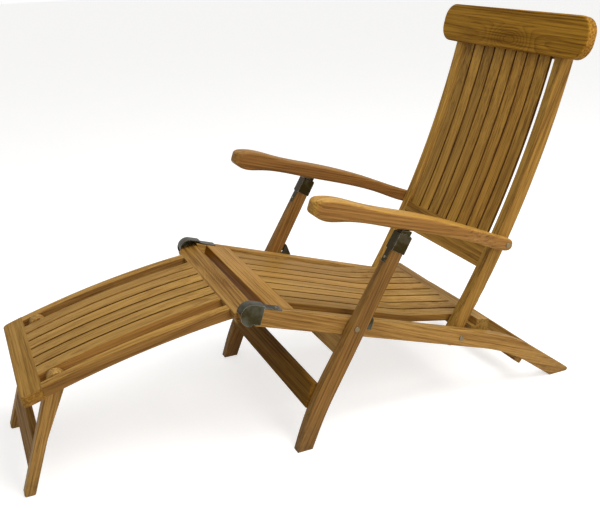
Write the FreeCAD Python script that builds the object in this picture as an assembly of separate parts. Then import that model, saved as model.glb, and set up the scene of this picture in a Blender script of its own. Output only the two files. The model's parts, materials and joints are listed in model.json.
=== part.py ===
import FreeCAD
import Part
import math
import os
from FreeCAD import Vector

# Folding teak deck chair with arms, a bowed back, a head board and a leg rest.
# X runs across the chair, -Y towards the sitter's feet, +Y to the back, Z up from the floor.
# Side views are drawn with y measured from the knee hinge; the last step centres the chair in Y.
# "left" is the sitter's left, +X. Every size is in millimetres, every angle in degrees.

# Sizes across the chair
SEAT_WIDTH = 515.0
MEMBER_THICK = 27.0
LEG_GAP = 3.5
STILE_GAP = 3.0
ARM_GAP = 3.5
ARM_WIDTH = 54.0
ARM_REAR_WIDTH = 27.0
FOOT_RAIL_INSET = 29.5
FOOT_LEG_GAP = 3.0
HEADREST_LENGTH = 610.0

# Seat frame
KNEE_HEIGHT = 374.5
SEAT_SLOPE = 18.1
REAR_LEG_SLOPE = 36.7
RAIL_DEPTH = 44.0
KNEE_ABOVE_RAIL = 2.8
RAIL_FRONT = 16.0
RAIL_BEND = 773.4
RAIL_BEND_RADIUS = 560.0
REAR_TIP_RADIUS = 6.2
FRONT_RAIL_START = 45.6
FRONT_RAIL_WIDTH = 68.0
REAR_RAIL_WIDTH = 38.5
REAR_RAIL_DEPTH = 52.0
FRONT_RAIL_THICK = 28.0
BOARD_THICK = 24.0
REAR_STRETCHER_WIDTH = 60.0
REAR_STRETCHER_PLACE = 92.0
UNDER_BOARD_PLACE = 245.3
UNDER_BOARD_DEPTH = 54.4
UNDER_BOARD_THICK = 20.0

# Seat slats
SEAT_SLATS = 8
SEAT_SLAT_GAP = 6.5
SEAT_SLAT_SIDE = 10.5
SLAT_THICK = 18.5
SLAT_BEARING = 14.0
SEAT_SLAT_BEND = 455.5
SEAT_SLAT_BEND_RADIUS = 420.0
SEAT_RISE_LENGTH = 201.5
SEAT_REAR_SLOPE = 10.6

# Back
BACK_PIVOT = 600.5
BACK_LEAN = 66.9
BACK_LENGTH = 846.0
BACK_BOW = 35.0
STILE_DEPTH = 38.0
STILE_HEEL = 16.0
BACK_SLATS = 8
BACK_SLAT_GAP = 6.0
BACK_SIDE_GAP = 17.5
BACK_SLAT_THICK = 8.5
BACK_SLAT_SET_IN = 2.0
BACK_RAIL_THICK = 24.0
LOWER_RAIL_START = 200.0
LOWER_RAIL_WIDTH = 75.0
TOP_RAIL_LAP = 5.0
TOP_RAIL_WIDTH = 62.0
HEADREST_WIDTH = 104.0
HEADREST_THICK = 27.0
HEADREST_SET_IN = 15.5
HEADREST_START = 765.0
HEADREST_ROUND = 44.0

# Arms
ARM_BOLT_PLACE = 284.5
ARM_REACH = 572.0
ARM_RISE = 19.1
ARM_REAR_DEPTH = 34.0
ARM_CROWN = 30.0
ARM_ARCH = 5.0
ARM_NOSE_TOP = 22.5
ARM_NOSE_DROP = 20.5
ARM_SWEEP_START = 45.0
ARM_SWEEP_END = 150.0
ARM_SWEEP_RADIUS = 160.0
ARM_NOSE = 9.5
ARM_NOSE_CORNER = 22.0
ARM_EDGE_RADIUS = 7.0
RACK_WIDTH = 14.0
RACK_SINK = 1.0
RACK_THICK = 5.0
RACK_PITCH = 22.0
RACK_MARGIN = 11.0
RACK_NOTCHES = 4
CAP_PIN_RADIUS = 5.0
NOTCH_CLEARANCE = 1.6
NOTCH_DEPTH = 3.5
PIN_SEAT_GAP = 0.3

# Front legs
LEG_BOLT_PLACE = 262.8
LEG_BOLT_RISE = 6.8
LEG_BOLT_FORWARD = 5.8
LEG_LEAN = 59.8
LEG_FOOT_LEAN = 70.0
LEG_DEPTH = 40.0
LEG_TOP_DEPTH = 32.0
LEG_FOOT_DEPTH = 37.0
LEG_BEND_BELOW = 220.0
LEG_BEND_RADIUS = 800.0
LEG_STRETCHER_WIDTH = 65.0
LEG_STRETCHER_THICK = 20.0
LEG_STRETCHER_HEIGHT = 104.0
CAP_WALL = 1.8
CAP_LENGTH = 44.0
CAP_NECK = 9.0
CAP_BEVEL = 2.5
NECK_GAP = 0.6
CAP_TANG = 34.0
TANG_INSET = 5.0
CAP_SCREW_DROP = 22.0

# Leg rest
REST_SLOPE = 12.5
REST_LENGTH = 524.0
REST_INNER = 32.0
REST_BACK = 23.0
REST_END_BOARD = 50.0
REST_BOW_HEIGHT = 20.0
REST_BOW_CENTRE = 270.0
REST_BOW_RADIUS = 2290.0
REST_RAIL_DEPTH = 27.0
REST_SLATS = 6
REST_SLAT_GAP = 6.0
REST_SLAT_SIDE = 8.0
REST_SLAT_THICK = 24.0
REST_BOARD_THICK = 27.0
REST_END_ROUND = 20.0
REST_NOSE_LEAN = 4.0
REST_PIVOT_DEPTH = 20.0
FOOT_LEG_PLACE = 442.0
FOOT_LEG_DROP = 18.0
FOOT_LEG_TOP_DEPTH = 42.0
FOOT_LEG_OUTER = 17.5
FOOT_LEG_INNER = 7.5
FOOT_LEG_WAIST_RADIUS = 300.0
FOOT_TIP_RADIUS = 5.0
FOOT_LEG_STOP_GAP = 0.5
FOOT_STRETCHER_WIDTH = 70.0
FOOT_STRETCHER_THICK = 18.0
FOOT_STRETCHER_HEIGHT = 62.0

# Steel fittings
BOLT_RADIUS = 4.0
RUNNING_FIT = 0.05
HEAD_RADIUS = 7.0
HEAD_RISE = 2.6
NUT_RADIUS = 7.0
NUT_THICK = 5.5
COUNTERBORE_CLEARANCE = 0.4
WASHER_RADIUS = 10.0
PLATE = 2.6
BRACKET_RADIUS = 26.5
BRACKET_WALL = 2.6
BRACKET_TANG = 46.0
BRACKET_FOOT = 20.0
TANG_SCREW_PLACE = 34.0
TONGUE_CLEARANCE = 1.0
SCREW_RADIUS = 3.6
SCREW_RISE = 1.2
SCREW_LENGTH = 16.0
SCREW_SHANK = 1.8
STOP_LENGTH = 46.0
STOP_LOW = 29.0
STOP_HIGH = 50.0
STOP_FLANGE = 11.0

DIAGONAL = math.sqrt(0.5)
EDGE = 2.5
SLAT_EDGE = 1.8
FIT_GAP = 0.3

# Layers from the middle of the chair outwards, as distances from the centre plane
rail_out = SEAT_WIDTH / 2
rail_in = rail_out - MEMBER_THICK
leg_in = rail_out + LEG_GAP
leg_out = leg_in + MEMBER_THICK
stile_out = rail_in - STILE_GAP
stile_in = stile_out - MEMBER_THICK
arm_in = stile_out + ARM_GAP
arm_out = arm_in + ARM_WIDTH
arm_rear_out = arm_in + ARM_REAR_WIDTH
rest_rail_out = rail_in - FOOT_RAIL_INSET
rest_rail_in = rest_rail_out - MEMBER_THICK
foot_leg_out = rest_rail_in - FOOT_LEG_GAP
foot_leg_in = foot_leg_out - MEMBER_THICK

SIDES = (("left", 1), ("right", -1))
nodes = {}


def heading(angle):
    """Unit vector in the side view, measured from +Y towards +Z."""
    return Vector(0, math.cos(math.radians(angle)), math.sin(math.radians(angle)))


class SideFrame:
    """A local frame in the side view: along a heading, and square to it."""

    def __init__(self, origin, angle, up):
        self.origin = origin
        self.along = heading(angle)
        self.up = heading(up)

    def at(self, a, b):
        return self.origin + self.along * a + self.up * b


knee = Vector(0, 0, KNEE_HEIGHT)
rail_line = -KNEE_ABOVE_RAIL
seat = SideFrame(knee + heading(90 - SEAT_SLOPE) * rail_line, -SEAT_SLOPE, 90 - SEAT_SLOPE)
rest = SideFrame(knee, 180 + REST_SLOPE, 90 + REST_SLOPE)
leg_bolt = seat.at(LEG_BOLT_PLACE, LEG_BOLT_RISE)
back_pivot = seat.at(BACK_PIVOT, 0)


def meet(p, d, q, e):
    """Point where the line through p along d meets the line through q along e."""
    cross = d.y * e.z - d.z * e.y
    r = q - p
    return p + d * ((r.y * e.z - r.z * e.y) / cross)


def at_floor(p, d):
    return p - d * (p.z / d.z)


def line(a, b):
    return Part.LineSegment(a, b).toShape()


def arc(a, m, b):
    return Part.Arc(a, m, b).toShape()


def corner_run(points):
    """Closed wire through (point, radius) corners, straight runs joined by tangent arcs."""
    count = len(points)
    cuts = []
    for i in range(count):
        p, radius = points[i]
        before = (points[i - 1][0] - p).normalize()
        after = (points[(i + 1) % count][0] - p).normalize()
        half = before.getAngle(after) / 2
        reach = radius / math.tan(half)
        middle = (before + after).normalize()
        crown = p + middle * (radius / math.sin(half) - radius)
        cuts.append((p + before * reach, crown, p + after * reach, radius))
    edges = []
    for i in range(count):
        start, crown, end, radius = cuts[i]
        if radius > 0:
            edges.append(arc(start, crown, end))
        edges.append(line(end, cuts[(i + 1) % count][0]))
    return Part.Wire(edges)


def prism(wire, x0, x1):
    """Solid of a side-view wire drawn at x = 0, from x0 to x1."""
    low = min(x0, x1)
    face = Part.Face(wire)
    face.translate(Vector(low, 0, 0))
    return face.extrude(Vector(abs(x1 - x0), 0, 0))


def ease(solid, radius, pick=None):
    """Round the edges that pick keeps, or all of them."""
    edges = [e for e in solid.Edges if pick is None or pick(e)]
    return solid.makeFillet(radius, edges)


def in_side_face(edge):
    """True for an edge of the outline, which lies in one plane x = constant."""
    return edge.BoundBox.XLength < 0.01


def runs_lengthwise(edge):
    return edge.BoundBox.XLength < 0.01 and edge.Length > 100


def plank(points, x0, x1, radius=EDGE, pick=in_side_face):
    return ease(prism(corner_run(points), x0, x1), radius, pick)


def rod(point, radius, x0, x1):
    low = min(x0, x1)
    return Part.makeCylinder(radius, abs(x1 - x0), Vector(low, point.y, point.z), Vector(1, 0, 0))


def dome(point, radius, rise, x, side):
    """Low round bolt head standing on the plane x, bulging along side."""
    rim = 0.35 * rise
    body = Part.makeCylinder(radius, rise, Vector(x, point.y, point.z), Vector(side, 0, 0))
    rounded = [e for e in body.Edges if abs(abs(e.BoundBox.Center.x) - abs(x + side * rise)) < 0.01]
    return body.makeFillet(rise - rim, rounded)


def bolt(point, x_head, x_end, side):
    """Domed bolt whose head stands on x_head and whose shank runs inwards to x_end."""
    shank = rod(point, BOLT_RADIUS, side * x_end, side * x_head)
    return shank.fuse(dome(point, HEAD_RADIUS, HEAD_RISE, side * x_head, side)).removeSplitter()


def nut(point, x_face, side):
    """Hexagon nut standing on x_face, running inwards, with the bolt's hole through it."""
    ring = [point + heading(60 * k) * NUT_RADIUS for k in range(6)]
    wire = Part.makePolygon(ring + [ring[0]])
    body = prism(wire, side * x_face, side * (x_face - NUT_THICK))
    return body.cut(rod(point, BOLT_RADIUS, side * (x_face - NUT_THICK - 1), side * (x_face + 1)))


def washer(point, x0, x1, side):
    ring = rod(point, WASHER_RADIUS, side * x0, side * x1)
    return ring.cut(rod(point, BOLT_RADIUS + RUNNING_FIT, side * (x0 - 1), side * (x1 + 1)))


def bolt_hole(point, x0, x1, side):
    return rod(point, BOLT_RADIUS + RUNNING_FIT, side * (x0 - 1), side * (x1 + 1))


def screw(point, inwards):
    """Small countersunk screw: a low domed head at point and a shank driven along inwards."""
    head = Part.makeCylinder(SCREW_RADIUS, SCREW_RISE, point, inwards * -1)
    rim = [e for e in head.Edges if e.BoundBox.Center.distanceToPoint(point - inwards * SCREW_RISE) < 0.1]
    head = head.makeFillet(SCREW_RISE * 0.6, rim)
    return head.fuse(Part.makeCylinder(SCREW_SHANK, SCREW_LENGTH, point, inwards)).removeSplitter()


def screw_hole(point, inwards):
    return Part.makeCylinder(SCREW_SHANK, SCREW_LENGTH, point, inwards)


def group(solids):
    return Part.makeCompound(solids)


def slat_places(half_width, count, gap):
    """Centre and half width of each slat of a row that fills the width."""
    width = (2 * half_width - (count - 1) * gap) / count
    return [(-half_width + width / 2 + k * (width + gap), width / 2) for k in range(count)]


# Seat rails, which run on as the rear legs

rail_half = RAIL_DEPTH / 2
bend = seat.at(RAIL_BEND, 0)
rear = SideFrame(bend, -REAR_LEG_SLOPE, 90 - REAR_LEG_SLOPE)


def rail_edge(offset):
    """Corner points of the rail's upper or lower edge, offset from its centre line."""
    front = seat.at(RAIL_FRONT, offset)
    corner = meet(seat.at(0, offset), seat.along, rear.at(0, offset), rear.along)
    foot = at_floor(rear.at(0, offset), rear.along)
    return front, corner, foot


top_front, top_corner, top_foot = rail_edge(rail_half)
low_front, low_corner, low_foot = rail_edge(-rail_half)
rail_outline = [
    (top_front, 0),
    (top_corner, RAIL_BEND_RADIUS + rail_half),
    (top_foot, REAR_TIP_RADIUS),
    (low_foot, 0),
    (low_corner, RAIL_BEND_RADIUS - rail_half),
    (low_front, 0),
]


def bracket_cup_clear():
    """The round space at the knee in which the leg rest's end turns."""
    return rod(knee, BRACKET_RADIUS - BRACKET_WALL + FIT_GAP, -leg_out, leg_out)


def seat_rail(side):
    body = plank(rail_outline, side * rail_in, side * rail_out)
    for point in (leg_bolt, back_pivot):
        body = body.cut(bolt_hole(point, rail_in, rail_out, side))
    pocket = rod(leg_bolt, NUT_RADIUS + COUNTERBORE_CLEARANCE, side * (rail_in - 1), side * (rail_in + NUT_THICK))
    body = body.cut(pocket).cut(bracket_cup_clear())
    return body.cut(screw_hole(tang_screw(side), seat.up * -1)).removeSplitter()


def tang_screw(side):
    """Where the screw through the knee bracket's tang sits."""
    place = knee_frame.at(BRACKET_RADIUS + TANG_SCREW_PLACE, tang_low + PLATE)
    return place + Vector(side * (rail_in + rail_out) / 2, 0, 0)


# Cross boards of the seat

slat_top = rail_half
slat_start = FRONT_RAIL_START + FRONT_RAIL_WIDTH


def ledge_board(frame, start, width, thick, ledge, top, x_half):
    """Board whose far lower half runs on as a ledge under the slat ends."""
    points = [
        (frame.at(start, top), EDGE),
        (frame.at(start + width, top), 0),
        (frame.at(start + width, top - SLAT_THICK), 0),
        (frame.at(start + width + ledge, top - SLAT_THICK), 0),
        (frame.at(start + width + ledge, top - thick), 0),
        (frame.at(start, top - thick), EDGE),
    ]
    return prism(corner_run(points), -x_half, x_half)


def seat_front_rail():
    return ledge_board(seat, FRONT_RAIL_START, FRONT_RAIL_WIDTH, FRONT_RAIL_THICK, SLAT_BEARING, slat_top, rail_in)


seat_bend = seat.at(SEAT_SLAT_BEND, slat_top)
seat_rise = SideFrame(seat_bend, -SEAT_REAR_SLOPE, 90 - SEAT_REAR_SLOPE)


def seat_rear_rail():
    start = SEAT_RISE_LENGTH
    points = [
        (seat_rise.at(start, 0), 0),
        (seat_rise.at(start + REAR_RAIL_WIDTH, 0), EDGE),
        (seat_rise.at(start + REAR_RAIL_WIDTH, -REAR_RAIL_DEPTH), EDGE),
        (seat_rise.at(start - SLAT_BEARING, -REAR_RAIL_DEPTH), EDGE),
        (seat_rise.at(start - SLAT_BEARING, -SLAT_THICK), 0),
        (seat_rise.at(start, -SLAT_THICK), 0),
    ]
    return prism(corner_run(points), -rail_in, rail_in)


def seat_slat(centre, half):
    low_bend = meet(seat.at(0, slat_top - SLAT_THICK), seat.along, seat_rise.at(0, -SLAT_THICK), seat_rise.along)
    points = [
        (seat.at(slat_start, slat_top), 0),
        (seat_bend, SEAT_SLAT_BEND_RADIUS),
        (seat_rise.at(SEAT_RISE_LENGTH, 0), 0),
        (seat_rise.at(SEAT_RISE_LENGTH, -SLAT_THICK), 0),
        (low_bend, SEAT_SLAT_BEND_RADIUS + SLAT_THICK),
        (seat.at(slat_start, slat_top - SLAT_THICK), 0),
    ]
    return plank(points, centre - half, centre + half, SLAT_EDGE, runs_lengthwise)


def rear_stretcher():
    top = rail_half
    start = REAR_STRETCHER_PLACE
    points = [
        (rear.at(start - BOARD_THICK, top), EDGE),
        (rear.at(start, top), EDGE),
        (rear.at(start, top - REAR_STRETCHER_WIDTH), EDGE),
        (rear.at(start - BOARD_THICK, top - REAR_STRETCHER_WIDTH), EDGE),
    ]
    return prism(corner_run(points), -rail_in, rail_in)


def seat_under_board():
    top = -rail_half
    end = UNDER_BOARD_PLACE + UNDER_BOARD_THICK
    points = [
        (seat.at(UNDER_BOARD_PLACE, top), 0),
        (seat.at(end, top), 0),
        (seat.at(end, top - UNDER_BOARD_DEPTH), EDGE),
        (seat.at(UNDER_BOARD_PLACE, top - UNDER_BOARD_DEPTH), EDGE),
    ]
    return prism(corner_run(points), -rail_out, rail_out)


# Knee brackets: an outer plate, a wall round the leg rest's end, and a tang on the rail

knee_frame = SideFrame(knee, -SEAT_SLOPE, 90 - SEAT_SLOPE)
tang_low = rail_half - KNEE_ABOVE_RAIL


def knee_bracket(side):
    spot = knee_frame.at
    outer = BRACKET_RADIUS
    inner = BRACKET_RADIUS - BRACKET_WALL
    cup_in = side * rail_in
    face = side * (rail_out + PLATE)
    plate_points = [
        (spot(outer, outer), BRACKET_WALL),
        (spot(-outer, outer), outer - FIT_GAP),
        (spot(-outer, -outer), outer - FIT_GAP),
        (spot(BRACKET_WALL, -outer), BRACKET_WALL),
        (spot(3 * BRACKET_WALL, -BRACKET_FOOT), BRACKET_WALL),
        (spot(outer, -BRACKET_FOOT), BRACKET_WALL),
    ]
    plate = prism(corner_run(plate_points), side * rail_out, face)
    wall_wire = Part.Wire([
        line(spot(outer, outer), spot(0, outer)),
        arc(spot(0, outer), spot(-outer * DIAGONAL, outer * DIAGONAL), spot(-outer, 0)),
        line(spot(-outer, 0), spot(-outer, -BRACKET_WALL)),
        line(spot(-outer, -BRACKET_WALL), spot(-inner, -BRACKET_WALL)),
        line(spot(-inner, -BRACKET_WALL), spot(-inner, 0)),
        arc(spot(-inner, 0), spot(-inner * DIAGONAL, inner * DIAGONAL), spot(0, inner)),
        line(spot(0, inner), spot(outer - BRACKET_WALL, inner)),
        line(spot(outer - BRACKET_WALL, inner), spot(outer - BRACKET_WALL, tang_low)),
        line(spot(outer - BRACKET_WALL, tang_low), spot(outer + BRACKET_TANG, tang_low)),
        line(spot(outer + BRACKET_TANG, tang_low), spot(outer + BRACKET_TANG, tang_low + PLATE)),
        line(spot(outer + BRACKET_TANG, tang_low + PLATE), spot(outer, tang_low + PLATE)),
        line(spot(outer, tang_low + PLATE), spot(outer, outer)),
    ])
    wall = prism(wall_wire, cup_in, side * rail_out)
    pin = rod(knee, BOLT_RADIUS, cup_in, side * rail_out)
    body = plate.fuse([wall, pin]).removeSplitter()
    return body.cut(screw_hole(tang_screw(side), seat.up * -1))


def bracket_screws():
    return group([screw(tang_screw(side), seat.up * -1) for name, side in SIDES])


# Front legs

leg_middle = leg_bolt - heading(LEG_LEAN + 90) * LEG_BOLT_FORWARD
leg_axis = SideFrame(leg_middle, LEG_LEAN, LEG_LEAN + 90)


def leg_edge(front):
    """Points of the leg's front or rear edge, from its foot to its top."""
    sign = 1 if front else -1
    pivot = leg_axis.at(0, sign * LEG_DEPTH / 2)
    top = leg_axis.at(leg_top, sign * LEG_TOP_DEPTH / 2)
    upper = (top - pivot).normalize()
    corner = pivot - upper * LEG_BEND_BELOW
    foot_centre = at_floor(leg_axis.at(-LEG_BEND_BELOW, 0), heading(LEG_FOOT_LEAN))
    foot = foot_centre - Vector(0, sign * LEG_FOOT_DEPTH / math.sin(math.radians(LEG_FOOT_LEAN)) / 2, 0)
    return foot, corner, top


# The back's bow: stiles, slats and rails follow arcs round one centre in front of the back

bow_radius = BACK_LENGTH ** 2 / (8 * BACK_BOW) + BACK_BOW / 2
half_span = math.degrees(math.asin(BACK_LENGTH / 2 / bow_radius))
heel = back_pivot - heading(BACK_LEAN - half_span) * STILE_HEEL
bow_centre = heel + heading(BACK_LEAN - half_span + 90) * bow_radius


def on_back(s, behind):
    """Point at arc length s up the stile's centre line, and so far behind it."""
    turn = BACK_LEAN - half_span - 90 + math.degrees(s / bow_radius)
    return bow_centre + heading(turn) * (bow_radius + behind)


def back_strip(s0, s1, front, behind):
    """Wire of a curved strip between two arc lengths and two depths."""
    middle = (s0 + s1) / 2
    return Part.Wire([
        arc(on_back(s0, front), on_back(middle, front), on_back(s1, front)),
        line(on_back(s1, front), on_back(s1, behind)),
        arc(on_back(s1, behind), on_back(middle, behind), on_back(s0, behind)),
        line(on_back(s0, behind), on_back(s0, front)),
    ])


stile_half = STILE_DEPTH / 2
stile_length = math.radians(2 * half_span) * bow_radius
arm_bolt = on_back(ARM_BOLT_PLACE, 0)
slat_front = -stile_half + BACK_SLAT_SET_IN
slat_back = slat_front + BACK_SLAT_THICK
head_back = slat_front + HEADREST_SET_IN
rail_back = slat_front + BACK_RAIL_THICK
lower_rail_end = LOWER_RAIL_START + LOWER_RAIL_WIDTH
top_rail_start = HEADREST_START - FIT_GAP
top_rail_end = HEADREST_START + TOP_RAIL_WIDTH


def back_stile(side):
    heel_wire = Part.Wire([
        arc(on_back(0, -stile_half), on_back(-stile_half, 0), on_back(0, stile_half)),
        arc(on_back(0, stile_half), on_back(stile_length / 2, stile_half), on_back(stile_length, stile_half)),
        line(on_back(stile_length, stile_half), on_back(stile_length, -stile_half)),
        arc(on_back(stile_length, -stile_half), on_back(stile_length / 2, -stile_half), on_back(0, -stile_half)),
    ])
    body = ease(prism(heel_wire, side * stile_in, side * stile_out), EDGE, in_side_face)
    body = body.cut(headrest_board())
    for point in (back_pivot, arm_bolt):
        body = body.cut(bolt_hole(point, stile_in, stile_out, side))
    return body


def back_lower_rail():
    """Wide cross rail with a ledge behind the lower ends of the slats."""
    ledge_end = lower_rail_end + SLAT_BEARING
    body = prism(back_strip(LOWER_RAIL_START, ledge_end, slat_front, rail_back), -stile_in, stile_in)
    room = back_strip(lower_rail_end, ledge_end + 1, slat_front - 1, slat_back)
    body = body.cut(prism(room, -stile_out, stile_out))
    for name, side in SIDES:
        deep = side * (stile_in - NUT_THICK - COUNTERBORE_CLEARANCE)
        body = body.cut(rod(arm_bolt, NUT_RADIUS + COUNTERBORE_CLEARANCE, deep, side * stile_out))
    return body


def back_top_rail():
    """Hidden cross rail behind the upper ends of the slats and the head board."""
    start = HEADREST_START - TOP_RAIL_LAP
    rail = prism(back_strip(start, top_rail_end, slat_back, rail_back), -stile_in, stile_in)
    return rail.cut(headrest_board())


def back_slat(centre, half):
    wire = back_strip(lower_rail_end, top_rail_start, slat_front, slat_back)
    return ease(prism(wire, centre - half, centre + half), SLAT_EDGE, runs_lengthwise)


head_end = HEADREST_START + HEADREST_WIDTH
head_low = on_back(HEADREST_START, head_back)
head_high = on_back(head_end, head_back)


def headrest_board():
    """Board with fully rounded ends, let into the fronts of the stiles."""
    along = (head_high - head_low).normalize()
    outwards = along.cross(Vector(1, 0, 0)).normalize()
    if outwards.y > 0:
        outwards = outwards * -1
    width = (head_high - head_low).Length
    reach = HEADREST_LENGTH / 2
    flat = reach - HEADREST_ROUND
    mid = (head_low + head_high) / 2

    def place(x, w):
        return mid + Vector(x, 0, 0) + along * w

    half = width / 2
    nook = half - HEADREST_ROUND
    q = HEADREST_ROUND * DIAGONAL
    edges = []
    corners = ((1, 1), (-1, 1), (-1, -1), (1, -1))
    for index in range(4):
        sx, sw = corners[index]
        start = place(sx * flat, sw * half) if sx * sw < 0 else place(sx * reach, sw * nook)
        end = place(sx * reach, sw * nook) if sx * sw < 0 else place(sx * flat, sw * half)
        edges.append(arc(start, place(sx * (flat + q), sw * (nook + q)), end))
        nx, nw = corners[(index + 1) % 4]
        after = place(nx * flat, nw * half) if nx * nw < 0 else place(nx * reach, nw * nook)
        edges.append(line(end, after))
    return Part.Face(Part.Wire(edges)).extrude(outwards * HEADREST_THICK)


# Arms, and the steel rack let into the underside of each

arm = SideFrame(arm_bolt, 180 - ARM_RISE, 90 - ARM_RISE)
arm_rear = ARM_REAR_DEPTH / 2


def arm_outline():
    """Smooth closed outline: round rear end, bowed top, arched underside, blunt round nose."""
    end = ARM_REACH + ARM_NOSE
    points = [
        arm.at(-arm_rear, 0),
        arm.at(-arm_rear * DIAGONAL, arm_rear * DIAGONAL),
        arm.at(arm_rear / 2, arm_rear),
        arm.at(ARM_REACH * 0.3, ARM_CROWN - 2),
        arm.at(ARM_REACH * 0.56, ARM_CROWN),
        arm.at(ARM_REACH * 0.8, ARM_CROWN - 3),
        arm.at(ARM_REACH - ARM_NOSE, ARM_NOSE_TOP),
        arm.at(end, ARM_NOSE_TOP / 2),
        arm.at(end, -ARM_NOSE_DROP / 3),
        arm.at(ARM_REACH - ARM_NOSE, -ARM_NOSE_DROP),
        arm.at(ARM_REACH * 0.87, -ARM_NOSE_DROP + 4),
        arm.at(ARM_REACH * 0.66, -ARM_ARCH - 4),
        arm.at(ARM_REACH * 0.42, -ARM_ARCH),
        arm.at(ARM_REACH * 0.18, -ARM_ARCH - 4),
        arm.at(arm_rear / 2, -arm_rear),
        arm.at(-arm_rear * DIAGONAL, -arm_rear * DIAGONAL),
    ]
    curve = Part.BSplineCurve()
    curve.interpolate(points, PeriodicFlag=True)
    return curve


def underside(a):
    """Height of the arm's underside at a distance along it, in the arm's own frame."""
    wire = arm_outline().toShape()
    probe = line(arm.at(a, -3 * ARM_NOSE_DROP), arm.at(a, 0))
    hit = wire.distToShape(probe)[1][0][0]
    return (hit - arm.origin).dot(arm.up)


def leg_meets_arm():
    """Place along the arm where the front leg's centre line reaches its underside."""
    a = ARM_REACH * 0.6
    for step in range(6):
        b = underside(a)
        crossing = meet(arm.at(a, b), arm.along, leg_middle, leg_axis.along)
        a = (crossing - arm.origin).dot(arm.along)
    return a


pin_a = leg_meets_arm()
rack_slope = (underside(pin_a + RACK_PITCH) - underside(pin_a - RACK_PITCH)) / (2 * RACK_PITCH)
rack_angle = math.degrees(math.atan(rack_slope))
rack_base = arm.at(pin_a, underside(pin_a) + RACK_SINK)
rack = SideFrame(rack_base, 180 - ARM_RISE - rack_angle, 90 - ARM_RISE - rack_angle)
cap_pin = rack.at(0, NOTCH_DEPTH - PIN_SEAT_GAP - CAP_PIN_RADIUS)
neck_top = rack.at(0, -RACK_SINK - NECK_GAP)
leg_top = (neck_top - leg_middle).dot(leg_axis.along) - CAP_NECK - CAP_WALL
rack_out = arm_out - ARM_EDGE_RADIUS - 1


def notch_cutters(side):
    """Round-bottomed notches along the rack, the second of them over the cap's pin."""
    cutters = []
    wide = CAP_PIN_RADIUS + NOTCH_CLEARANCE
    for k in range(RACK_NOTCHES):
        centre = rack.at((k - 1) * RACK_PITCH, NOTCH_DEPTH - wide)
        cutters.append(rod(centre, wide, side * (rack_out - RACK_WIDTH), side * rack_out))
    return cutters


def rack_block(side, thick, grow):
    """The rack's bar without its notches, grown all round by a clearance."""
    start = -RACK_PITCH - RACK_MARGIN - grow
    end = (RACK_NOTCHES - 2) * RACK_PITCH + RACK_MARGIN + grow
    points = [
        (rack.at(start, 0), 0),
        (rack.at(end, 0), 0),
        (rack.at(end, thick), 0),
        (rack.at(start, thick), 0),
    ]
    return prism(corner_run(points), side * (rack_out - RACK_WIDTH - grow), side * (rack_out + grow))


def arm_plan(side):
    """The arm seen from above: straight inside, broad in front, narrow at its bolt."""
    rear = -2 * arm_rear
    nose = ARM_REACH + ARM_NOSE
    low = -3 * ARM_CROWN

    def spot(x, a):
        return arm.at(a, low) + Vector(side * x, 0, 0)

    points = [
        (spot(arm_in, rear), 0),
        (spot(arm_in, nose), ARM_NOSE_CORNER),
        (spot(arm_out, nose), ARM_NOSE_CORNER),
        (spot(arm_out, ARM_SWEEP_END), ARM_SWEEP_RADIUS),
        (spot(arm_rear_out, ARM_SWEEP_START), ARM_SWEEP_RADIUS),
        (spot(arm_rear_out, rear), 0),
    ]
    return Part.Face(corner_run(points)).extrude(arm.up * (-2 * low))


def follows_outline(edge):
    """True for the arm's long edges, which its fillet rounds, and not for its straight seams."""
    return edge.Curve.TypeId != "Part::GeomLine"


def arm_body(side):
    slab = prism(Part.Wire([arm_outline().toShape()]), side * arm_in, side * arm_out)
    body = ease(slab.common(arm_plan(side)), ARM_EDGE_RADIUS, follows_outline)
    body = body.cut(bolt_hole(arm_bolt, arm_in, arm_rear_out, side))
    body = body.cut(rack_block(side, RACK_THICK, FIT_GAP / 3))
    return body.cut(rack_mouth(side))


def rack_mouth(side):
    """The wood taken away below the rack's face, so that the pin reaches it."""
    start = -RACK_PITCH - RACK_MARGIN - FIT_GAP / 3
    end = (RACK_NOTCHES - 2) * RACK_PITCH + RACK_MARGIN + FIT_GAP / 3
    points = [
        (rack.at(start, -3 * RACK_THICK), 0),
        (rack.at(end, -3 * RACK_THICK), 0),
        (rack.at(end, 0), 0),
        (rack.at(start, 0), 0),
    ]
    wide = FIT_GAP / 3
    return prism(corner_run(points), side * (rack_out - RACK_WIDTH - wide), side * (rack_out + wide))


def arm_rack(side):
    body = rack_block(side, RACK_THICK, 0)
    for cutter in notch_cutters(side):
        body = body.cut(cutter)
    return body


def front_leg(side):
    front_foot, front_corner, front_top = leg_edge(True)
    rear_foot, rear_corner, rear_top = leg_edge(False)
    points = [
        (front_foot, 0),
        (front_corner, LEG_BEND_RADIUS),
        (front_top, 0),
        (rear_top, 0),
        (rear_corner, LEG_BEND_RADIUS),
        (rear_foot, 0),
    ]
    body = prism(corner_run(points), side * leg_in, side * leg_out)
    body = ease(body, EDGE, in_side_face)
    body = body.cut(screw_hole(cap_screw(side), leg_front_inwards()))
    return body.cut(bolt_hole(leg_bolt, leg_in, leg_out, side))


def cap_screw(side):
    t = leg_top - CAP_LENGTH - CAP_SCREW_DROP
    point = leg_axis.at(t, leg_front_at(t) + CAP_WALL)
    return point + Vector(side * (leg_in + leg_out) / 2, 0, 0)


def leg_front_inwards():
    """Direction square to the leg's tapering front face, into the wood."""
    taper = leg_front_at(leg_top) - leg_front_at(0)
    return (leg_axis.along * taper - leg_axis.up * leg_top).normalize()


def leg_front_at(t):
    """Half depth of the leg at a distance t above its bolt."""
    return LEG_DEPTH / 2 + (LEG_TOP_DEPTH - LEG_DEPTH) / 2 * t / leg_top


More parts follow.
